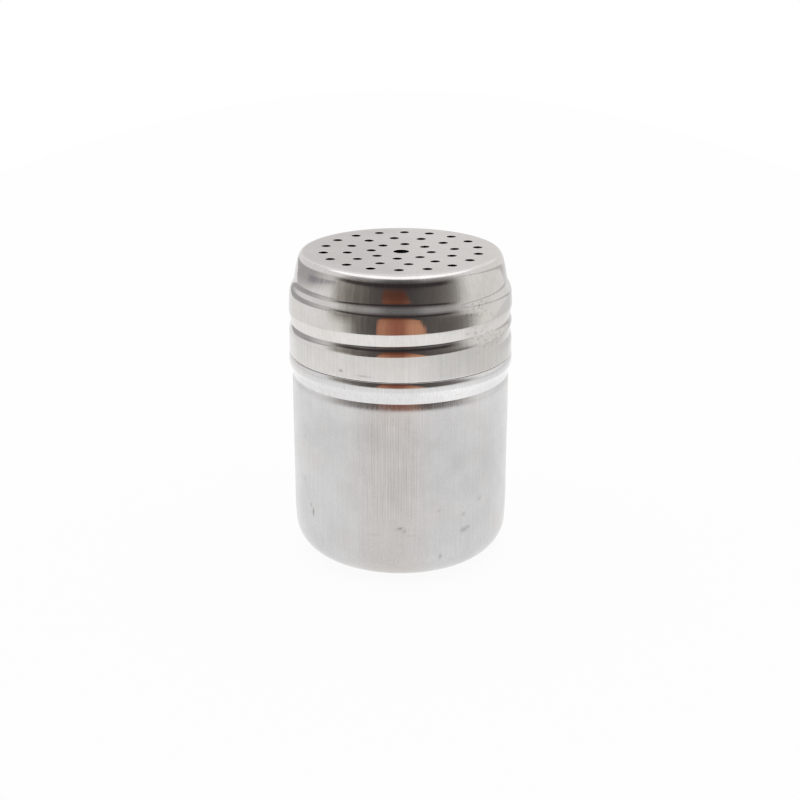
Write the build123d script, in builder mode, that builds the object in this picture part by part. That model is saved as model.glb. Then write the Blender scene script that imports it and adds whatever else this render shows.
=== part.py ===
from build123d import *
from math import cos, pi, radians, sin
import os

# Small steel spice shaker: a drawn canister with a rolled thread on its neck, and a perforated screw lid.
# Millimetres, +Z up. The origin is the centre of the canister's flat base, and the lid's centre line is
# the Z axis.

os.makedirs("parts", exist_ok=True)

# ---- driving dimensions --------------------------------------------------------------------------
overall_height = 65.0
sheet = 0.4  # thickness of the stainless sheet

# canister
wall_radius = 22.7
base_corner_radius = 7.0  # draw radius between the base and the wall
base_lean = 0.5  # the wall pulls in by this much where it runs into the draw radius
lean_height = 9.5
lean_blend = 60.0
waist_radius = 22.5  # the narrowest place, under the shoulder bead
waist_height = 39.4
waist_blend = 0.25
waist_flare_height = 1.7  # the wall opens again over this much below the waist
flare_blend = 3.0
bead_radius = 23.33  # the widest place, a crisp ridge round the shoulder
bead_height = 42.95
bead_underside = (22.85, 40.9)  # where the bead's underside meets the waist's slope
bead_lower_edge = (23.30, 41.95)
ledge_radius = 23.2
ledge_height = 44.0  # the lid's edge comes down to here
bend_radius = 0.5  # bends of the shoulder bead
neck_radius = 21.85
mouth_height = 57.3
mouth_curl = 0.6  # outer radius of the mouth's edge, rolled in

# lid
corner_radius = 1.8  # between the flat top and the shoulder
corner_point = 20.95  # radius at which the shoulder's cone meets the plane of the top
shoulder_foot = (21.95, 59.65)
skirt_top = (22.93, 57.5)
shoulder_blend = 1.0
skirt_blend = 1.0
skirt_radius = 23.22  # at the skirt's lower edge
hem_height = 0.88  # the rolled edge at the bottom of the skirt
hem_depth = 0.62
hem_round = 0.3
seam = 0.05  # clearance at the hem

# screw thread, right-handed, rolled into both sheets
pitch = 3.5
thread_start = 48.6  # height of the lid's groove on the +X side, at the start of its full depth
thread_turns = 1.0  # full-depth part
run_out_angle = 35.0  # at each end the thread fades out over this angle
run_out_lift = 0.9
points_per_turn = 24
groove_radius = 1.38  # cross-section of the lid's groove
groove_depth = 0.6
ridge_radius = 1.0  # cross-section of the ridge on the canister's neck
ridge_height = 0.6
blank_radius = 28.0  # clears everything outside the sheet
trim = 0.02  # taken off the skirt's top where the groove's back is cleared away

# pouring holes: ring radius, number of holes, angle of the first hole
hole_rings = ((6.2, 8, 37.7), (11.1, 12, 7.6), (16.0, 18, 7.9))
hole_diameter = 1.8
centre_hole_diameter = 3.0
punch_depth = 0.8  # through the sheet


def thread_path(radius, start_height, lift):
    """Points along a helix of one full turn, with run-outs that drift sideways by lift at both ends."""
    points = []
    total_angle = 360 * thread_turns + 2 * run_out_angle
    steps = round(points_per_turn * total_angle / 360)
    for step in range(steps + 1):
        angle = -run_out_angle + total_angle * step / steps
        beyond = max(-angle, angle - 360 * thread_turns, 0) / run_out_angle
        r = radius + lift * (1 - cos(pi * beyond)) / 2
        height = start_height + pitch * angle / 360
        points.append((r * cos(radians(angle)), r * sin(radians(angle)), height))
    return points


# ---- canister: one deep-drawn piece of sheet ------------------------------------------------------
with BuildPart() as canister:
    with BuildSketch(Plane.XZ) as canister_section:
        with BuildLine() as canister_outline:
            body_line = FilletPolyline(
                (0, 0),
                (wall_radius - base_lean, 0),
                (wall_radius, lean_height),
                (wall_radius, waist_height - waist_flare_height),
                (waist_radius, waist_height),
                bead_underside,
                bead_lower_edge,
                (bead_radius, bead_height),
                (ledge_radius, ledge_height),
                (neck_radius, ledge_height),
                (neck_radius, mouth_height - mouth_curl),
                radius=(
                    base_corner_radius,
                    lean_blend,
                    flare_blend,
                    waist_blend,
                    bend_radius,
                    bend_radius,
                    bend_radius,
                    bend_radius,
                    bend_radius,
                ),
            )
            CenterArc(
                (neck_radius - mouth_curl, mouth_height - mouth_curl), mouth_curl, 0, 180
            )
            offset(amount=sheet, side=Side.LEFT)
        make_face()
    revolve(axis=Axis.Z)

    # the rolled ridge of the neck's thread, half a pitch above the lid's groove
    with BuildLine() as ridge_line:
        ridge_path = Spline(
            *thread_path(
                neck_radius - sheet, thread_start + pitch / 2, -run_out_lift
            )
        )
    with BuildSketch(Plane(ridge_path @ 0, z_dir=ridge_path % 0)) as ridge_round:
        Circle(ridge_radius)
    sweep(path=ridge_path)
    # clear what stands inside the neck, then roll the back of the ridge out
    with BuildSketch(Plane.XY.offset(ledge_height)) as neck_bore:
        Circle(neck_radius - sheet)
    extrude(amount=mouth_height - mouth_curl - ledge_height, mode=Mode.SUBTRACT)
    with BuildSketch(Plane(ridge_path @ 0, z_dir=ridge_path % 0)) as ridge_back:
        Circle(ridge_height)
    sweep(path=ridge_path, mode=Mode.SUBTRACT)

canister.part.label = "canister"
export_step(canister.part, "parts/canister.step")

# ---- lid: one pressed piece of sheet, with a groove rolled into its skirt --------------------------
skirt_foot = ledge_height + seam + hem_height + seam
with BuildPart() as lid:
    with BuildSketch(Plane.XZ) as lid_section:
        with BuildLine() as lid_outline:
            lid_line = FilletPolyline(
                (0, overall_height),
                (corner_point, overall_height),
                shoulder_foot,
                skirt_top,
                (skirt_radius, skirt_foot),
                radius=(corner_radius, shoulder_blend, skirt_blend),
            )
            offset(amount=sheet, side=Side.RIGHT)
        make_face()
    revolve(axis=Axis.Z)

    # the back of the groove, standing in from the skirt
    groove_centre = skirt_radius - groove_depth + groove_radius
    with BuildLine() as groove_line:
        groove_path = Spline(*thread_path(groove_centre, thread_start, run_out_lift))
    with BuildSketch(Plane(groove_path @ 0, z_dir=groove_path % 0)) as groove_back:
        Circle(groove_radius + sheet)
    sweep(path=groove_path)
    # clear what stands outside the skirt, then cut the groove
    with BuildSketch(Plane.XZ) as outside_skirt:
        with BuildLine():
            Polyline(
                (skirt_top[0] - trim, skirt_top[1]),
                (blank_radius, skirt_top[1]),
                (blank_radius, skirt_foot),
                (skirt_radius, skirt_foot),
                close=True,
            )
        make_face()
    revolve(axis=Axis.Z, mode=Mode.SUBTRACT)
    with BuildSketch(Plane(groove_path @ 0, z_dir=groove_path % 0)) as groove_round:
        Circle(groove_radius)
    sweep(path=groove_path, mode=Mode.SUBTRACT)

    # pouring holes
    with Locations((0, 0, overall_height)):
        Hole(centre_hole_diameter / 2, depth=punch_depth)
        for ring_radius, count, first_angle in hole_rings:
            with PolarLocations(ring_radius, count, start_angle=first_angle):
                Hole(hole_diameter / 2, depth=punch_depth)

lid.part.label = "lid"
export_step(lid.part, "parts/lid.step")

# ---- the lid's rolled edge -------------------------------------------------------------------------
with BuildPart() as lid_hem:
    with BuildSketch(Plane.XZ) as hem_section:
        with Locations((skirt_radius - hem_depth, ledge_height + seam)):
            hem_face = Rectangle(hem_depth, hem_height, align=(Align.MIN, Align.MIN))
        fillet(hem_face.vertices().group_by(Axis.Y)[0], hem_round)
    revolve(axis=Axis.Z)

lid_hem.part.label = "lid_hem"
export_step(lid_hem.part, "parts/lid_hem.step")
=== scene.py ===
from random import Random
from math import acos, atan2, ceil, cos, exp, hypot, pi, radians, sin, tan

import bpy
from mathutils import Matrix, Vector, noise
from mathutils.geometry import delaunay_2d_cdt


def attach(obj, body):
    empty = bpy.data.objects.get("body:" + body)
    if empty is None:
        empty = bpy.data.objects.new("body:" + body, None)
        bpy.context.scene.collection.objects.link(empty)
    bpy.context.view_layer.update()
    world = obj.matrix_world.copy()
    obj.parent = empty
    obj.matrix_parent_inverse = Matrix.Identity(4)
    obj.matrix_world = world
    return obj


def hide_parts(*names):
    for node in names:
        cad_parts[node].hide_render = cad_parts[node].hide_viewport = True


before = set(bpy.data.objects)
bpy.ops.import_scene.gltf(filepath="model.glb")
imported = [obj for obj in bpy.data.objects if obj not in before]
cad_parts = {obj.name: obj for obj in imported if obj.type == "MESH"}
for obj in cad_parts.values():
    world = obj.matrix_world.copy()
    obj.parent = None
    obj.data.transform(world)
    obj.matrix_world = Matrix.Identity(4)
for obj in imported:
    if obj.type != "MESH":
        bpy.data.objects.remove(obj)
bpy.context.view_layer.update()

MM = 0.001  # sizes below are in millimetres, the scene is in metres


# ---- camera -------------------------------------------------------------------------------------
# Eye level with a short telephoto lens, about thirty centimetres in front of the shaker and looking
# down on its lid at about twenty degrees.
lens_mm = 66.96
sensor_mm = 36.0
eye_back = 297.7
eye_height = 138.9
eye_aside = -0.10
look_down = 19.70

camera = bpy.data.objects.new("camera", bpy.data.cameras.new("camera"))
bpy.context.scene.collection.objects.link(camera)
camera.data.lens = lens_mm
camera.data.sensor_width = sensor_mm
camera.data.clip_start = 0.01
camera.data.clip_end = 20
camera.location = (eye_aside * MM, -eye_back * MM, eye_height * MM)
camera.rotation_euler = (radians(90 - look_down), 0, 0)
bpy.context.scene.camera = camera
bpy.context.scene.view_settings.view_transform = "Standard"


# ---- table and room -----------------------------------------------------------------------------
# The shaker stands on a round white board in a light tent. The tent is open in front, so the steel
# mirrors the darker room there and a brown leather panel, and the board's edge against them.
board_front = 200.0
board_side = 240.0
board_back = 700.0
board_level = -0.05  # a hair below the canister's base
board_sides = 180
board_white = 0.86
board_glow = 0.93  # share of plain white in what a camera or a mirror sees of the board
mirrored_near = 1.16  # painted light: brightness that the steel mirrors, close to the shaker
mirrored_far = 0.90
fade_from = 50.0
fade_to = 190.0
shade_right = 0.16  # painted shade: what the steel mirrors of the board is a little darker on the right
shade_from = 20.0
shade_to = 150.0


def new_material(name):
    """A material with no nodes yet."""
    material = bpy.data.materials.new(name)
    material.use_nodes = True
    material.node_tree.nodes.clear()
    return material


def add(tree, kind, **settings):
    """A shader node of this kind, with its settings."""
    node = tree.nodes.new(kind)
    for key, value in settings.items():
        setattr(node, key, value)
    return node


def feed(tree, socket, value):
    """Gives a socket a number, a colour or another node's output."""
    if isinstance(value, (int, float)):
        socket.default_value = value
    elif isinstance(value, tuple):
        socket.default_value = (*value, 1.0)
    else:
        tree.links.new(value, socket)


def maths(tree, operation, *values):
    """A Math node's output for numbers or sockets."""
    node = add(tree, "ShaderNodeMath", operation=operation)
    for socket, value in zip(node.inputs, values):
        feed(tree, socket, value)
    return node.outputs[0]


def product(tree, first, *others):
    """Numbers or sockets multiplied together."""
    for other in others:
        first = maths(tree, "MULTIPLY", first, other)
    return first


def total(tree, first, *others):
    """Numbers or sockets added up."""
    for other in others:
        first = maths(tree, "ADD", first, other)
    return first


def multiply_add(tree, value, factor, extra):
    """value * factor + extra."""
    return total(tree, product(tree, value, factor), extra)


def ramp(tree, value, from_low, from_high, to_low=0.0, to_high=1.0, smooth=True):
    """Maps a value from one range to another, clamped."""
    node = add(tree, "ShaderNodeMapRange", clamp=True)
    node.interpolation_type = "SMOOTHSTEP" if smooth else "LINEAR"
    feed(tree, node.inputs["Value"], value)
    ends = {"From Min": from_low, "From Max": from_high, "To Min": to_low, "To Max": to_high}
    for socket, number in ends.items():
        feed(tree, node.inputs[socket], number)
    return node.outputs["Result"]


def within(tree, *limits):
    """How far a place lies within all of its soft limits. A limit is a value, where it fades in from and
    to, and if need be what it fades between."""
    return product(tree, *[ramp(tree, *limit) for limit in limits])


def blend_colours(tree, amount, a, b):
    """Mixes two colours, each a tuple or a socket."""
    node = add(tree, "ShaderNodeMix", data_type="RGBA")
    for socket, value in ((node.inputs["Factor"], amount), (node.inputs[6], a), (node.inputs[7], b)):
        feed(tree, socket, value)
    return node.outputs[2]


def shade_colour(tree, colour, factor):
    """A colour times a number."""
    node = add(tree, "ShaderNodeVectorMath", operation="SCALE")
    tree.links.new(colour, node.inputs[0])
    tree.links.new(factor, node.inputs["Scale"])
    return node.outputs[0]


crease_angle = 38.0  # bends sharper than this stay crisp


def mesh_object(name, points, faces, material, inside=(), inside_material=None):
    """A smooth-shaded mesh piece from points in millimetres. Its inside faces can have a material of
    their own."""
    mesh = bpy.data.meshes.new(name)
    mesh.from_pydata([Vector(p) * MM for p in points], [], list(faces) + list(inside))
    mesh.materials.append(material)
    if inside:
        mesh.materials.append(inside_material)
        mesh.polygons.foreach_set("material_index", [0] * len(faces) + [1] * len(inside))
    mesh.validate()
    mesh.polygons.foreach_set("use_smooth", [True] * len(mesh.polygons))
    mesh.set_sharp_from_angle(angle=radians(crease_angle))
    piece = bpy.data.objects.new(name, mesh)
    bpy.context.scene.collection.objects.link(piece)
    return piece


def white_board():
    """The board's matt white. What the steel mirrors of it is painted light: a pool of light, bright close
    by and less so further out, with a painted shade on the right.
    """
    material = new_material("white_board")
    tree = material.node_tree
    position = add(tree, "ShaderNodeNewGeometry").outputs["Position"]
    split = add(tree, "ShaderNodeSeparateXYZ")
    tree.links.new(position, split.inputs[0])
    distance = add(tree, "ShaderNodeVectorMath", operation="LENGTH")
    tree.links.new(position, distance.inputs[0])
    fade = (fade_from * MM, fade_to * MM, mirrored_near, mirrored_far)
    mirrored = ramp(tree, distance.outputs["Value"], *fade, smooth=False)
    shade = ramp(tree, split.outputs["X"], shade_from * MM, shade_to * MM, 0, shade_right)
    mirrored = maths(tree, "SUBTRACT", mirrored, shade)

    rays = add(tree, "ShaderNodeLightPath").outputs
    seen = maths(tree, "MAXIMUM", rays["Is Camera Ray"], rays["Is Glossy Ray"])
    seen = maths(tree, "MAXIMUM", seen, rays["Is Transmission Ray"])
    brightness = product(tree, rays["Is Glossy Ray"], maths(tree, "SUBTRACT", mirrored, 1.0))
    glow = add(tree, "ShaderNodeEmission")
    tree.links.new(total(tree, brightness, 1.0), glow.inputs["Strength"])
    matt = add(tree, "ShaderNodeBsdfDiffuse")
    matt.inputs["Color"].default_value = (board_white, board_white, board_white, 1)
    both = add(tree, "ShaderNodeMixShader")
    tree.links.new(product(tree, seen, board_glow), both.inputs[0])
    tree.links.new(matt.outputs[0], both.inputs[1])
    tree.links.new(glow.outputs[0], both.inputs[2])
    tree.links.new(both.outputs[0], add(tree, "ShaderNodeOutputMaterial").inputs["Surface"])
    return material


rim = []
for k in range(board_sides):
    angle = 2 * pi * k / board_sides
    reach = board_back if sin(angle) > 0 else board_front
    rim.append((board_side * cos(angle), reach * sin(angle), board_level))
board = mesh_object("round_board", rim, [tuple(range(board_sides))], white_board())

# The tent and the room, by direction in degrees. Side is 0 in front (-Y) and 90 on the right (+X), and
# rise is the height above the horizon.
world = bpy.data.worlds.new("light_tent")
bpy.context.scene.world = world
world.use_nodes = True
tree = world.node_tree
tree.nodes.clear()
outward = add(tree, "ShaderNodeTexCoord")
split = add(tree, "ShaderNodeSeparateXYZ")
tree.links.new(outward.outputs["Generated"], split.inputs[0])
east, north, up = split.outputs
side = product(tree, maths(tree, "ARCTAN2", east, product(tree, north, -1.0)), 180 / pi)
rise = product(tree, maths(tree, "ARCSINE", up), 180 / pi)
off_front = maths(tree, "ABSOLUTE", side)

# what stands round the shaker at eye level: side, colour
surroundings = [
    (-180, (0.80, 0.782, 0.785)),
    (-158, (0.84, 0.83, 0.84)),
    (-134, (0.80, 0.79, 0.80)),
    (-118, (0.64, 0.625, 0.635)),
    (-90, (0.62, 0.605, 0.61)),
    (-74, (0.52, 0.50, 0.47)),
    (-60, (0.36, 0.335, 0.31)),
    (-45, (0.20, 0.183, 0.167)),
    (-30, (0.115, 0.103, 0.097)),
    (-14, (0.075, 0.065, 0.066)),
    (0, (0.062, 0.053, 0.055)),
    (18, (0.090, 0.082, 0.079)),
    (36, (0.130, 0.116, 0.108)),
    (50, (0.20, 0.183, 0.172)),
    (60, (0.33, 0.315, 0.305)),
    (69, (0.66, 0.65, 0.64)),
    (80, (0.88, 0.875, 0.865)),
    (140, (0.87, 0.865, 0.855)),
    (180, (0.80, 0.782, 0.785)),
]
tent_top = (1.44, 1.45, 1.48)
tent_upper = (0.88, 0.88, 0.93)
tent_side = (0.86, 0.86, 0.86)
tent_low = (0.90, 0.90, 0.88)
tent_back = (1.0, 0.985, 1.0)
camera_white = (1.0, 1.0, 1.0)
darkest = (0.036, 0.028, 0.031)
darkest_share = 0.85
cloth_near = (0.70, 0.69, 0.685)
cloth_far = (0.45, 0.44, 0.455)
cloth_low = (0.92, 0.91, 0.915)
cloth_high = (0.86, 0.85, 0.865)
rail_grey = (0.26, 0.25, 0.29)
leather = (0.24, 0.092, 0.060)
pale_leather = (0.40, 0.20, 0.125)

# folds of cloth and things in the room: upright streaks that shift the colours a little sideways
fold_across = 0.30
fold_along = 0.018
fold_shift = 9.0
spot = add(tree, "ShaderNodeCombineXYZ")
tree.links.new(product(tree, side, fold_across), spot.inputs["X"])
tree.links.new(product(tree, rise, fold_along), spot.inputs["Y"])
folds = add(tree, "ShaderNodeTexNoise")
folds.inputs["Scale"].default_value = 1.0
folds.inputs["Detail"].default_value = 5.0
folds.inputs["Roughness"].default_value = 0.6
tree.links.new(spot.outputs[0], folds.inputs["Vector"])
fold = ramp(tree, folds.outputs["Fac"], 0.3, 0.7, -fold_shift, fold_shift, smooth=False)
fold = product(tree, fold, within(tree, (side, -125, -100), (side, -22, -38)))

# lower down the opening's edges slant outward, mostly on the right
right_slant = within(tree, (side, 30, 55), (rise, 1, -11, 0, 12))
left_slant = within(tree, (side, -30, -55), (rise, 10, 2, 0, 5))
along = maths(tree, "SUBTRACT", total(tree, side, fold, left_slant), right_slant)
round_about = add(tree, "ShaderNodeValToRGB")
stops = round_about.color_ramp.elements
while len(stops) > 1:
    stops.remove(stops[-1])
for number, (azimuth, colour) in enumerate(surroundings):
    share = (azimuth + 180) / 360
    stop = stops.new(share) if number else stops[0]
    stop.position = share
    stop.color = (*colour, 1)
tree.links.new(ramp(tree, along, -180, 180, smooth=False), round_about.inputs[0])
room = round_about.outputs[0]

# the room is darkest a little above eye level, and pales towards the tent's bright top
dim = within(tree, (rise, 8, 12), (rise, 22, 17), (side, -88, -56, 0.12, 1), (side, 64, 44))
room = blend_colours(tree, product(tree, dim, darkest_share), room, darkest)
pale_share = multiply_add(tree, ramp(tree, off_front, 34, 12), -0.30, 0.50)  # less of it in front
room = blend_colours(tree, product(tree, ramp(tree, rise, 16, 48), pale_share), room, tent_upper)
left_wall = within(tree, (side, -62, -80), (rise, 17, 24), (side, -125, -105))
room = blend_colours(tree, left_wall, room, tent_side)
room = blend_colours(tree, ramp(tree, rise, 40, 52), room, tent_top)
left_foot = ramp(tree, rise, -6.5, -12.5, 0, 0.9, smooth=False)
left_foot = product(tree, left_foot, within(tree, (side, -42, -68), (side, -179, -152)))
room = blend_colours(tree, left_foot, room, tent_low)
back_wall = within(tree, (off_front, 130, 155), (rise, 14, 24))
room = blend_colours(tree, back_wall, room, tent_back)

# hung cloth on the left, with a straight rail across it, and a thin rail that slants down on the right
above_rail = total(tree, rise, product(tree, side, -0.2), -20.1)
above_crease = total(tree, rise, product(tree, side, -0.33))
cloth = blend_colours(tree, ramp(tree, side, -80, -114), cloth_near, cloth_far)
cloth = blend_colours(tree, ramp(tree, above_rail, 0.8, -4.8), cloth, cloth_low)
cloth = blend_colours(tree, ramp(tree, above_crease, 46, 49.5), cloth, cloth_high)
hung = within(tree, (side, -66, -86), (side, -179, -152), (rise, 44, 34))
room = blend_colours(tree, hung, room, cloth)
off_left_rail = maths(tree, "ABSOLUTE", total(tree, above_rail, -0.6))
left_rail = within(tree, (off_left_rail, 1.9, 0.5, 0, 0.6), (side, -66, -80), (side, -124, -110))
off_right_rail = maths(tree, "ABSOLUTE", total(tree, rise, product(tree, side, 0.44), -57.0))
right_rail = within(tree, (off_right_rail, 3.2, 1.0, 0, 0.45), (side, 60, 76), (side, 165, 140))
room = blend_colours(tree, total(tree, left_rail, right_rail), room, rail_grey)

# the leather panel in front: lit from below, so it is paler lower down, and towards its two sides
panel_tone = ramp(tree, rise, 6, -9, 0.5, 1.5, smooth=False)
off_middle = maths(tree, "ABSOLUTE", total(tree, side, 3.0))
pale_part = ramp(tree, rise, 6, -10, 0.4, 1.0, smooth=False)
pale_part = product(tree, pale_part, within(tree, (off_middle, 4, 15), (side, -8, 6, 0.6, 1.0)))
brown = blend_colours(tree, pale_part, leather, pale_leather)
past_left_edge = total(tree, side, product(tree, rise, -0.3))
past_right_edge = total(tree, side, rise)
panel = within(tree, (past_left_edge, -21.5, -19), (past_right_edge, 15, 11), (rise, 11, 7))
room = blend_colours(tree, panel, room, shade_colour(tree, brown, panel_tone))

# the camera itself sees plain white behind the shaker
rays = add(tree, "ShaderNodeLightPath")
room = blend_colours(tree, rays.outputs["Is Camera Ray"], room, camera_white)
background = add(tree, "ShaderNodeBackground")
tree.links.new(room, background.inputs["Color"])
background.inputs["Strength"].default_value = 1.0
tree.links.new(background.outputs[0], add(tree, "ShaderNodeOutputWorld").inputs["Surface"])


# ---- canister -----------------------------------------------------------------------------------
# A cup drawn from one disc of stainless sheet, with a rounded bottom corner, a slight waist, a ridge
# and ledge round the shoulder and a neck with the screw ridge rolled out and the mouth's edge rolled in.
sheet = 0.4
wall_radius = 22.7
wall_foot_radius = 22.2  # the wall leans in by half a millimetre at its bottom
waist_radius = 22.5
waist_height = 39.4
bead_radius = 23.31
ledge_height = 44.0
neck_radius = 21.85
mouth_height = 57.3
mouth_curl = 0.6
pitch = 3.5
valley_height = 48.7  # of the lid's groove on the +X side
canister_turns = 320  # divisions round the wall
canister_step = 0.42  # and the longest step along its outline
flat_base = 14.0  # the base is flat inside this radius, and longer steps do there

# the outside, from the middle of the base to the mouth: radius, height, radius of the bend
canister_corners = [
    (0, 0, 0),
    (wall_foot_radius, 0, 7.0),
    (wall_radius, 9.5, 60.0),
    (wall_radius, 38.1, 6.0),
    (waist_radius, waist_height, 0.25),
    (22.85, 40.9, 0.5),
    (23.28, 41.95, 0.5),
    (bead_radius, 42.8, 0.4),
    (23.30, 43.4, 4.4),
    (23.15, ledge_height, 0.12),
    (neck_radius, ledge_height, 0.5),
    (neck_radius, mouth_height - mouth_curl, 0),
]


def bent_outline(corners, step):
    """Points along a line of corners (radius, height, bend radius), with a round bend at each corner."""
    most_turn = radians(7)  # between two points of a bend
    places = [Vector(c[:2]) for c in corners]
    line = [places[0]]
    for i in range(1, len(corners) - 1):
        before = (places[i - 1] - places[i]).normalized()
        after = (places[i + 1] - places[i]).normalized()
        opening = acos(max(-1, min(1, before.dot(after))))
        turn = pi - opening
        bend = corners[i][2]
        if bend <= 0 or turn < 1e-4:
            line.append(places[i])
            continue
        centre = places[i] + (before + after).normalized() * (bend / sin(opening / 2))
        start = places[i] + before * (bend / tan(opening / 2)) - centre
        sign = 1 if before.x * after.y - before.y * after.x < 0 else -1
        count = max(2, ceil(max(turn / most_turn, bend * turn / step)))
        for k in range(count + 1):
            a = sign * turn * k / count
            x = start.x * cos(a) - start.y * sin(a)
            y = start.x * sin(a) + start.y * cos(a)
            line.append(centre + Vector((x, y)))
    line.append(places[-1])
    fine = [line[0]]
    for a, b in zip(line, line[1:]):
        gap = (b - a).length
        if gap < 1e-5:
            continue
        count = max(1, ceil(gap / step))
        fine += [a.lerp(b, k / count) for k in range(1, count + 1)]
    return fine


def beside(line, distance):
    """The line moved sideways by distance, to the right of its direction."""
    moved = []
    for i, p in enumerate(line):
        ahead = line[min(i + 1, len(line) - 1)] - line[max(i - 1, 0)]
        across = Vector((ahead.y, -ahead.x)).normalized()
        moved.append(p + across * distance)
    return moved


def turned_rows(line, divisions, push=None):
    """Points for the line turned round the axis, and the numbers of the points in each ring. A place on
    the axis is one point. Push gives how far a point stands out, for its angle and height."""
    points, rings = [], []
    for place in line:
        if place.x < 1e-6:
            rings.append([len(points)])
            points.append((0, 0, place.y))
            continue
        ring = []
        for k in range(divisions):
            angle = 2 * pi * k / divisions
            radius = place.x + (push(angle, place.y) if push else 0)
            ring.append(len(points))
            points.append((radius * cos(angle), radius * sin(angle), place.y))
        rings.append(ring)
    return points, rings


def skin(rings, closed=False):
    """Faces between neighbouring rings."""
    faces = []
    pairs = list(zip(rings, rings[1:]))
    if closed:
        pairs.append((rings[-1], rings[0]))
    for low, high in pairs:
        n = max(len(low), len(high))
        for k in range(n):
            j = (k + 1) % n
            if len(low) == 1:
                faces.append((low[0], high[j], high[k]))
            elif len(high) == 1:
                faces.append((low[k], low[j], high[0]))
            else:
                faces.append((low[k], low[j], high[j], high[k]))
    return faces


def smooth_step(x):
    """0 to 1 with soft ends."""
    x = max(0.0, min(1.0, x))
    return x * x * (3 - 2 * x)


neck_foot = ledge_height + 0.6  # above the bend at the foot of the neck
run_out = 38.0  # degrees over which the thread fades away at each end
ridge_height = 0.5
ridge_half_width = 1.15
ridge_drop = 0.45  # below the middle between two turns of the lid's groove


def turns_at(angle):
    """The turns of the thread that cross this angle: how far along each is, in degrees, and how full."""
    degrees = (angle * 180 / pi) % 360
    found = []
    for whole in (-360, 0, 360):
        along = degrees + whole
        beyond = max(-along, along - 360, 0) / run_out
        if beyond < 1:
            found.append((along, 1 - smooth_step(beyond)))
    return found


def neck_ridge(angle, height):
    """How far the neck's thread stands out."""
    out = 0
    for along, full in turns_at(angle):
        middle = valley_height - ridge_drop + pitch / 2 + pitch * along / 360
        u = abs(height - middle) / ridge_half_width
        if u < 1:
            out = max(out, ridge_height * full * (0.5 + 0.5 * cos(pi * u)))
    return out


def press_waves(angle, height, depth, around, upward, offset=0.0):
    """Slow waves that the press leaves in the sheet, so deep, and so close together round it and up it."""
    return depth * noise.noise(Vector((around * cos(angle), around * sin(angle), offset + upward * height)))


# small dings near the bottom: angle from the front, height, radius, depth
dings = [
    (-46.0, 15.4, 0.50, 0.030),
    (-47.0, 14.6, 0.42, 0.022),
    (-0.7, 11.4, 0.55, 0.030),
    (1.4, 11.0, 0.40, 0.020),
    (33.6, 10.8, 0.60, 0.030),
    (31.2, 14.4, 0.32, 0.025),
    (38.6, 20.2, 0.30, 0.020),
    (21.5, 4.6, 0.50, 0.025),
    (128.0, 12.5, 0.60, 0.035),
    (171.0, 21.0, 0.45, 0.025),
    (-110.0, 9.5, 0.55, 0.030),
]


def wall_shape(angle, height):
    """The wall's slow waves and its dings."""
    shape = press_waves(angle, height, 0.012, 1.7, 0.06)
    shape += press_waves(angle, height, 0.004, 5, 0.16, offset=7)
    for aside, at, radius, depth in dings:
        turn = (angle - radians(aside - 90) + pi) % (2 * pi) - pi
        far = hypot(turn * wall_radius, height - at) / radius
        if far < 2:
            shape -= depth * exp(-2 * far * far)
    return shape


def canister_push(angle, height):
    """The neck's ridge, and below the ledge the wall's shape, which fades out before the base and ledge."""
    if height > neck_foot:
        return neck_ridge(angle, height)
    above_base = smooth_step((height - 0.5) / 3)
    below_ledge = smooth_step((ledge_height - 0.4 - height) / 2)
    return wall_shape(angle, height) * above_base * below_ledge


outer = bent_outline(canister_corners, canister_step)
outer = [p for i, p in enumerate(outer) if i % 6 == 0 or p.x > flat_base]
for k in range(1, 13):
    angle = pi * k / 12
    x = neck_radius - mouth_curl + mouth_curl * cos(angle)
    outer.append(Vector((x, mouth_height - mouth_curl + mouth_curl * sin(angle))))
inner = beside(outer, -sheet)
inner[0] = Vector((0, sheet))
inner = [p for i, p in enumerate(inner) if i % 3 == 0 or p.y > ledge_height or i == len(inner) - 1]

painted_wall_shade = [(40, 30, 0.87), (30, 8, 0.93)]  # painted shade: the wall is painted darker downward: heights, and down to what share
painted_light_right = 0.13  # painted light: the wall is painted so much paler on the upper right, where it mirrors a brighter room
# painted reflection: the front strip is tinted darker and warmer, for the dark room that the steel mirrors
# in front
dark_reflection_tint = (0.945, 0.915, 0.885)
wear_and_reflection_middle = -2.0  # of the strip down the front, across the shaker, with scored lines and a painted dark reflection
wear_and_reflection_core = 2.0  # half width of its full part, where the scoring and the painted reflection are strongest
wear_and_reflection_edge = 10.0  # and of the whole strip
score_spacing = 0.52
score_wander = 8.0
score_depth = 0.045
streak_depth = 0.09
stain_brown = (0.16, 0.14, 0.125)
warm_tint = (1.0, 0.965, 0.92)
speck_share = 0.30  # a speck's brightness, of the steel's
relief_depth = 0.004


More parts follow.
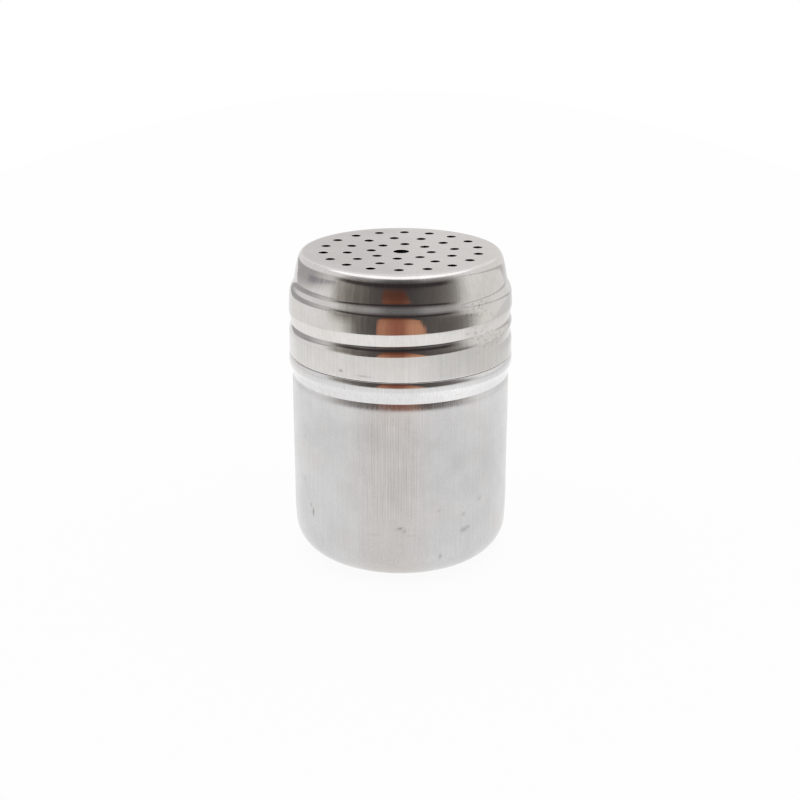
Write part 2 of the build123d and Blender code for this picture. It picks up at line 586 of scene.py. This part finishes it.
def wall_wear_and_painted_light(tree, place, colour, upright, wander):
    """The canister's wall: painted shade lower down, painted light on the upper right, and down its front
    a strip of fine scored lines and painted dark reflection. Gives the colour, and the strip's share."""
    x, y, z = place
    off_strip = maths(tree, "ABSOLUTE", total(tree, x, -wear_and_reflection_middle))
    wear_and_reflection = within(tree, (off_strip, wear_and_reflection_edge, wear_and_reflection_core), (y, -8, -14), (z, 40, 36))
    # painted shade: darker towards the bottom
    for top, bottom, share in painted_wall_shade:
        colour = shade_colour(tree, colour, ramp(tree, z, top, bottom, 1.0, share))
    # painted reflection: the strip is tinted darker and warmer
    darker = add(tree, "ShaderNodeVectorMath", operation="MULTIPLY")
    tree.links.new(colour, darker.inputs[0])
    darker.inputs[1].default_value = dark_reflection_tint
    colour = blend_colours(tree, wear_and_reflection, colour, darker.outputs[0])

    phase = multiply_add(tree, x, 2 * pi / score_spacing, product(tree, wander, score_wander))
    streaks = ramp(tree, upright, 0.3, 0.7, -streak_depth, streak_depth, smooth=False)
    scored = multiply_add(tree, maths(tree, "SINE", phase), score_depth, streaks)
    scored = product(tree, scored, wear_and_reflection, ramp(tree, z, 9, 20))
    colour = shade_colour(tree, colour, total(tree, scored, 1.0))
    # painted light: paler on the upper right
    painted_light_patch = within(tree, (x, 2, 12), (z, 24, 34))
    colour = shade_colour(tree, colour, multiply_add(tree, painted_light_patch, painted_light_right, 1.0))
    return colour, wear_and_reflection


def steel(name, tint, roughness, lines, mottle, streak_scale, seed=0.0, polish=None):
    """Stainless steel: upright drawing lines, patches of slightly different polish, specks and the piece's
    own stains. Polish is the height range over which a dull wall turns bright, and the roughness above
    it; a piece with polish also gets the wall's scored strip and its painted shade, light and reflection."""
    material = new_material(name)
    tree = material.node_tree
    own = add(tree, "ShaderNodeTexCoord")
    in_mm = add(tree, "ShaderNodeVectorMath", operation="SCALE")
    in_mm.inputs["Scale"].default_value = 1 / MM
    tree.links.new(own.outputs["Object"], in_mm.inputs[0])

    def pattern(scale, stretch=1.0, detail=3.0, rough=0.55, offset=0.0):
        """Noise with so many spots per millimetre, stretched upright."""
        shift = add(tree, "ShaderNodeMapping")
        shift.inputs["Scale"].default_value = (1, 1, stretch)
        shift.inputs["Location"].default_value = (seed + offset, seed, offset)
        tree.links.new(in_mm.outputs[0], shift.inputs["Vector"])
        spots = add(tree, "ShaderNodeTexNoise")
        spots.inputs["Scale"].default_value = scale
        spots.inputs["Detail"].default_value = detail
        spots.inputs["Roughness"].default_value = rough
        tree.links.new(shift.outputs[0], spots.inputs["Vector"])
        return spots.outputs["Fac"]

    upright = pattern(streak_scale, stretch=0.02, detail=4, rough=0.65)
    patches = pattern(0.16, detail=4, rough=0.6, offset=31)
    tints = pattern(0.11, detail=2, offset=77)
    grain = pattern(7.0, detail=2, offset=11)
    specks = pattern(1.15, detail=3, rough=0.75, offset=53)
    speck = ramp(tree, specks, 0.735, 0.80, 0, 0.75)
    stain = add(tree, "ShaderNodeAttribute", attribute_name="stain").outputs["Fac"]

    # colour: patches, a warmer tint here and there, drawing lines, grain, specks and stains
    light = tuple(c * (1 + mottle) for c in tint)
    dull = tuple(c * (1 - mottle) for c in tint)
    warmer = tuple(c * k for c, k in zip(tint, warm_tint))
    speck_dark = tuple(c * speck_share for c in tint)
    score = score_depth * lines
    colour = blend_colours(tree, ramp(tree, patches, 0.35, 0.66), dull, light)
    colour = blend_colours(tree, ramp(tree, tints, 0.52, 0.70, 0, 0.55), colour, warmer)
    colour = shade_colour(tree, colour, ramp(tree, upright, 0.3, 0.7, 1 - score, 1 + score, smooth=False))
    colour = shade_colour(tree, colour, ramp(tree, grain, 0.25, 0.75, 1 - score, 1 + score, smooth=False))
    colour = blend_colours(tree, speck, colour, speck_dark)
    colour = blend_colours(tree, stain, colour, stain_brown)

    # haze is the steel's roughness, and relief its drawing lines, grain and pits
    haze = ramp(tree, patches, 0.3, 0.7, roughness * 1.12, roughness * 0.88, smooth=False)
    streaks = ramp(tree, upright, 0.35, 0.65, -0.03 * lines, 0.03 * lines, smooth=False)
    haze = total(tree, haze, streaks, product(tree, speck, 0.25))
    relief = total(tree, product(tree, upright, lines), product(tree, grain, 0.25))
    relief = maths(tree, "SUBTRACT", relief, speck)
    if polish:
        dull_to, bright_from, bright_roughness = polish
        place = add(tree, "ShaderNodeSeparateXYZ")
        tree.links.new(in_mm.outputs[0], place.inputs[0])
        wander = pattern(0.5, stretch=0.1, detail=2, offset=19)
        # the canister's wall: scored strip, painted shade, painted light and a painted dark reflection
        colour, wear_and_reflection = wall_wear_and_painted_light(tree, place.outputs, colour, upright, wander)
        polished = ramp(tree, place.outputs["Z"], dull_to, bright_from)
        unpolished = ramp(tree, polished, 0, 1, 1, 0, smooth=False)
        haze = total(tree, product(tree, haze, unpolished), product(tree, polished, bright_roughness))
        relief = total(tree, relief, product(tree, upright, wear_and_reflection, 3.0 * lines))
        relief = product(tree, relief, ramp(tree, polished, 0, 1, 1, 0.3, smooth=False))

    bump = add(tree, "ShaderNodeBump")
    bump.inputs["Strength"].default_value = 1.0
    bump.inputs["Distance"].default_value = relief_depth * MM
    tree.links.new(relief, bump.inputs["Height"])
    shader = add(tree, "ShaderNodeBsdfPrincipled")
    shader.inputs["Metallic"].default_value = 1.0
    tree.links.new(colour, shader.inputs["Base Color"])
    tree.links.new(haze, shader.inputs["Roughness"])
    tree.links.new(bump.outputs[0], shader.inputs["Normal"])
    tree.links.new(shader.outputs[0], add(tree, "ShaderNodeOutputMaterial").inputs["Surface"])
    return material


def mark_stains(piece, stains):
    """Stores how stained each point is. A stain is an angle from the front, a height, half a width, half
    a height and a strength."""
    amounts = []
    for vertex in piece.data.vertices:
        x, y, z = vertex.co / MM
        amount = 0
        for aside, at, wide, tall, strength in stains:
            if abs(z - at) > 3 * tall:
                continue
            turn = (atan2(x, -y) - radians(aside) + pi) % (2 * pi) - pi
            far = (turn * wall_radius / wide) ** 2 + ((z - at) / tall) ** 2
            amount = max(amount, strength * exp(-far))
        amounts.append(amount)
    piece.data.attributes.new("stain", "FLOAT", "POINT").data.foreach_set("value", amounts)


canister_stains = [
    (-53.0, 12.5, 0.30, 0.75, 0.75),
    (-55.0, 13.8, 0.30, 0.40, 0.45),
    (-0.3, 12.7, 0.42, 0.26, 0.70),
    (1.9, 12.1, 0.30, 0.34, 0.50),
    (34.5, 14.2, 0.35, 0.25, 0.55),
    (34.8, 10.7, 0.75, 0.50, 0.45),
    (37.6, 11.0, 0.40, 0.35, 0.50),
    (45.6, 16.5, 0.40, 0.30, 0.35),
    (21.2, 5.7, 0.35, 0.55, 0.45),
    (-14.0, 11.1, 1.40, 0.22, 0.12),
    (5.0, 11.1, 1.20, 0.22, 0.12),
    (-61.0, 19.0, 0.30, 0.35, 0.35),
    (-60.0, 28.5, 0.30, 0.35, 0.30),
    (20.0, 16.0, 0.30, 0.20, 0.30),
    (97.0, 14.0, 0.50, 0.35, 0.50),
    (128.0, 12.0, 0.70, 0.30, 0.40),
    (171.0, 21.0, 0.40, 0.30, 0.45),
    (-110.0, 9.5, 0.60, 0.45, 0.45),
    (-148.0, 17.0, 0.35, 0.60, 0.35),
]
satin_steel = steel(
    "satin_steel",
    tint=(0.675, 0.668, 0.668),
    roughness=0.27,
    lines=1.6,
    mottle=0.025,
    streak_scale=3.4,
    polish=(waist_height - 0.6, waist_height + 0.5, 0.11),
)
# painted shade: the insides are the same steel, dull and tinted about half as bright, for the shade inside
# the closed shaker
dull_and_shaded_steel = steel(
    "dull_and_shaded_steel",
    tint=(0.34, 0.325, 0.315),
    roughness=0.38,
    lines=1.0,
    mottle=0.05,
    streak_scale=2.0,
    seed=4.0,
)
points, rings = turned_rows(outer + inner[::-1], canister_turns, canister_push)
outside = skin(rings[: len(outer)])
inside = skin(rings[len(outer) - 1 :])
canister = mesh_object("canister_cup", points, outside, satin_steel, inside, dull_and_shaded_steel)
mark_stains(canister, canister_stains)
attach(canister, "canister")
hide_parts("canister")


# ---- lid ----------------------------------------------------------------------------------------
# One cap pressed from brighter stainless sheet: pouring holes punched through its flat top, a rounded
# edge, a shallow shoulder and step, and a skirt with the groove rolled into it that screws it on.
overall_height = 65.0
flat_radius = 19.89
skirt_top = 57.4
skirt_radius = 23.2
skirt_foot = 44.93
lid_turns = 360  # divisions round the skirt
lid_step = 0.13
groove_depth = 0.45
groove_above = 2.4  # the groove's upper side slopes in over this height
groove_below = 2.1  # its lower side swells out again over this

# the rounded edge turns down in ever wider bends: steepness at its start and end in degrees, bend radius
edge_drop = 0.05
edge_bends = [
    (89, 45, 0.92),
    (45, 31, 1.65),
    (31, 22, 3.2),
    (22, 16, 5.5),
    (16, 13, 12.0),
    (13, 9.46, 44.6),
]
# from there down to the skirt's edge: radius, height, radius of the bend
lid_corners = [
    (22.01, 59.27, 4.0),
    (22.90, 57.47, 4.0),
    (23.05, 55.8, 40.0),
    (23.16, 53.6, 30.0),
    (skirt_radius, skirt_foot, 0),
]


def groove(angle, height):
    """How deep the screw groove is here: a long slope in from above, and a rounded shoulder below."""
    depth = 0
    for along, full in turns_at(angle):
        u = height - (valley_height + pitch * along / 360)
        if u >= 0:
            here = 1 - u / groove_above
        else:
            here = (1 + u / groove_below) ** 2 if u > -groove_below else 0
        if here > 0:
            depth = max(depth, groove_depth * full * here)
    return depth


def lid_push(angle, height):
    """The press's slow waves, which fade out before the top, and the skirt's groove."""
    shape = press_waves(angle, height, 0.010, 2.3, 0.10)
    shape += press_waves(angle, height, 0.003, 7, 0.30)
    shape *= smooth_step((overall_height - 0.8 - height) / 2)
    if height < skirt_top:
        shape -= groove(angle, height)
    return shape


outer = [Vector((flat_radius, overall_height - edge_drop))]
for start, end, bend in edge_bends:
    centre = outer[-1] - bend * Vector((cos(radians(start)), sin(radians(start))))
    count = max(3, ceil(bend * radians(start - end) / lid_step))
    for k in range(1, count + 1):
        angle = radians(start + (end - start) * k / count)
        outer.append(centre + bend * Vector((cos(angle), sin(angle))))
outer += bent_outline([(*outer[-1], 0)] + lid_corners, lid_step)[1:]
inner = beside(outer, sheet)
inner[0] = Vector((flat_radius, overall_height - edge_drop - sheet))
inner = [p for i, p in enumerate(inner) if i % 3 == 0 or i == len(inner) - 1]
points, rings = turned_rows(outer + inner[::-1], lid_turns, lid_push)
outside = [tuple(reversed(f)) for f in skin(rings[: len(outer) + 1])]
inside = [tuple(reversed(f)) for f in skin(rings[len(outer) :])]
top_edge, under_edge = rings[0], rings[-1]

# pouring holes: ring radius, number, angle of the first; punched from above, so their edges roll down
hole_rings = [(6.2, 8, 37.7), (11.1, 12, 7.6), (16.0, 18, 7.9)]
pattern_aside = 0.14  # the punched pattern sits a little off the lid's axis
outer_slip = 1.2  # degrees by which the outer ring's spacing wanders
outer_slip_at = 335.0
hole_radius = 0.98
centre_hole_radius = 1.60
lip = 0.08
burr = 0.05
apron = 0.05  # a flat strip round each hole, so that the lip's bend ends there
disc_sag = 0.28  # the flat top is pressed in a little at its middle
sag_radius = 17.0
crown_radius = 14.0  # and falls a little towards its edge from here
holes = [(pattern_aside, 0.0, centre_hole_radius, 48)]
for ring_radius, count, first in hole_rings:
    for k in range(count):
        angle = radians(first + 360 * k / count)
        if ring_radius == hole_rings[-1][0]:
            angle += radians(outer_slip) * cos(angle - radians(outer_slip_at))
        holes.append((pattern_aside + ring_radius * cos(angle), ring_radius * sin(angle), hole_radius, 32))


def disc_height(x, y):
    """Height of the disc's upper side."""
    far = hypot(x, y)
    u = min(1, far / sag_radius)
    crown = max(0, far - crown_radius) / (flat_radius - crown_radius)
    return overall_height - disc_sag * (1 - u * u) ** 1.5 - edge_drop * crown**2


def round_points(x, y, radius, sides):
    """Points of a circle, from the +X side on."""
    turns = [2 * pi * k / sides for k in range(sides)]
    return [Vector((x + radius * cos(a), y + radius * sin(a))) for a in turns]


# the flat top is a net of triangles between its edge, the holes and rings of free points
net_rings = (2.6, 3.3, 4.1, 5.0, 6.2, 7.6, 8.4, 9.3, 10.2)
net_rings += (11.2, 12.4, 13.2, 14.0, 15.0, 16.0, 17.3, 18.2, 19.0)
net_spacing = 0.9
net_clearance = 0.35  # between a hole's lip and the free points
flat_points = [Vector((points[k][0], points[k][1])) for k in top_edge]
edge_count = len(flat_points)
loops = [list(range(edge_count))]
for x, y, radius, sides in holes:
    loops.append(list(range(len(flat_points), len(flat_points) + sides)))
    flat_points += round_points(x, y, radius + lip + apron, sides)
for spread in net_rings:
    count = round(2 * pi * spread / net_spacing)
    for k in range(count):
        angle = 2 * pi * (k + 0.5) / count
        spot = Vector((spread * cos(angle), spread * sin(angle)))
        gaps = [hypot(spot.x - x, spot.y - y) - (radius + lip) for x, y, radius, sides in holes]
        if min(gaps) > net_clearance:
            flat_points.append(spot)
edges = [(loop[k], loop[(k + 1) % len(loop)]) for loop in loops for k in range(len(loop))]
flat, _, triangles, origin, _, _ = delaunay_2d_cdt(flat_points, edges, [], 0, 1e-6)

# every triangle stays but those inside a hole, whose corners are all on that hole's loop
kept = []
loop_of = {k: number for number, loop in enumerate(loops[1:]) for k in loop}
for a, b, c in triangles:
    on_loops = {loop_of.get(origin[k][0]) for k in (a, b, c)}
    if len(on_loops) > 1 or None in on_loops:
        kept.append((a, b, c))


def level(edge, lower_by):
    """Point numbers for the flat sheet's upper or under side, whose rim is the ring of points given."""
    numbers = []
    for k, spot in enumerate(flat):
        sources = origin[k]
        if sources and sources[0] < edge_count:
            numbers.append(edge[sources[0]])
        else:
            numbers.append(len(points))
            points.append((spot.x, spot.y, disc_height(spot.x, spot.y) - lower_by))
    return numbers


upper = level(top_edge, 0)
under = level(under_edge, sheet)
for a, b, c in kept:
    outside.append((upper[a], upper[b], upper[c]))
    inside.append((under[c], under[b], under[a]))

# each hole's edge: the rolled lip, the straight wall below it, and the burr on the under side
place_of = {sources[0]: k for k, sources in enumerate(origin) if sources}
for loop, (x, y, radius, sides) in zip(loops[1:], holes):
    bends = [radians(t) for t in range(0, 91, 15)]
    profile = [(radius + lip * (1 - sin(t)), -lip * (1 - cos(t))) for t in bends]
    profile.append((radius, -sheet - burr * 0.6))
    wall_end = len(profile)
    profile += [(radius + 0.05, -sheet - burr), (radius + 0.12, -sheet)]
    around = [[upper[place_of[k]] for k in loop]]
    for reach, drop in profile:
        around.append(list(range(len(points), len(points) + sides)))
        for spot in round_points(x, y, reach, sides):
            points.append((spot.x, spot.y, disc_height(spot.x, spot.y) + drop))
    around.append([under[place_of[k]] for k in loop])
    outside += skin(around[: wall_end + 1])
    inside += skin(around[wall_end:])

bright_steel = steel(
    "bright_steel",
    tint=(0.690, 0.672, 0.648),
    roughness=0.055,
    lines=1.5,
    mottle=0.035,
    streak_scale=2.6,
    seed=9.0,
)
lid = mesh_object("lid_cap", points, outside, bright_steel, inside, dull_and_shaded_steel)
lid_stains = [
    (-30.5, 45.6, 0.30, 0.28, 0.80),
    (-18.2, 45.1, 1.30, 0.16, 0.35),
    (44.6, 52.6, 0.30, 0.40, 0.35),
    (120.0, 47.0, 0.40, 0.30, 0.50),
    (-140.0, 55.5, 0.35, 0.50, 0.40),
]
# two scatters of specks: number, then angle and height with their spreads, sizes, flatness and strengths
speck_scatters = [
    (46, (41, 6), (56.4, 1.7), (0.16, 0.34), 0.8, (0.15, 0.55)),
    (60, (53, 7), (50.5, 0.8), (0.14, 0.38), 0.7, (0.10, 0.38)),
]
scatter = Random(8)
for count, angles, heights, sizes, flatness, strengths in speck_scatters:
    for k in range(count):
        size = scatter.uniform(*sizes)
        aside, at = scatter.gauss(*angles), scatter.gauss(*heights)
        lid_stains.append((aside, at, size, size * flatness, scatter.uniform(*strengths)))
mark_stains(lid, lid_stains)
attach(lid, "lid")
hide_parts("lid")


# ---- the lid's rolled edge -----------------------------------------------------------------------
# The bottom of the skirt is rolled under and pressed flat, which leaves a smooth doubled edge that
# rests just above the canister's ledge. It is one piece of sheet with the lid.
hem_inner = 22.6
hem_bottom = 44.03
hem_step = 0.12
hem_corners = [
    (skirt_radius, skirt_foot, 0),
    (skirt_radius, hem_bottom, 0.27),
    (hem_inner, hem_bottom, 0.3),
    (hem_inner, skirt_foot, 0),
]
points, rings = turned_rows(bent_outline(hem_corners, hem_step), lid_turns)
outside = [tuple(reversed(f)) for f in skin(rings, closed=True)]
hem = mesh_object("lid_rolled_edge", points, outside, bright_steel)
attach(hem, "lid_carrier")
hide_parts("lid_hem")
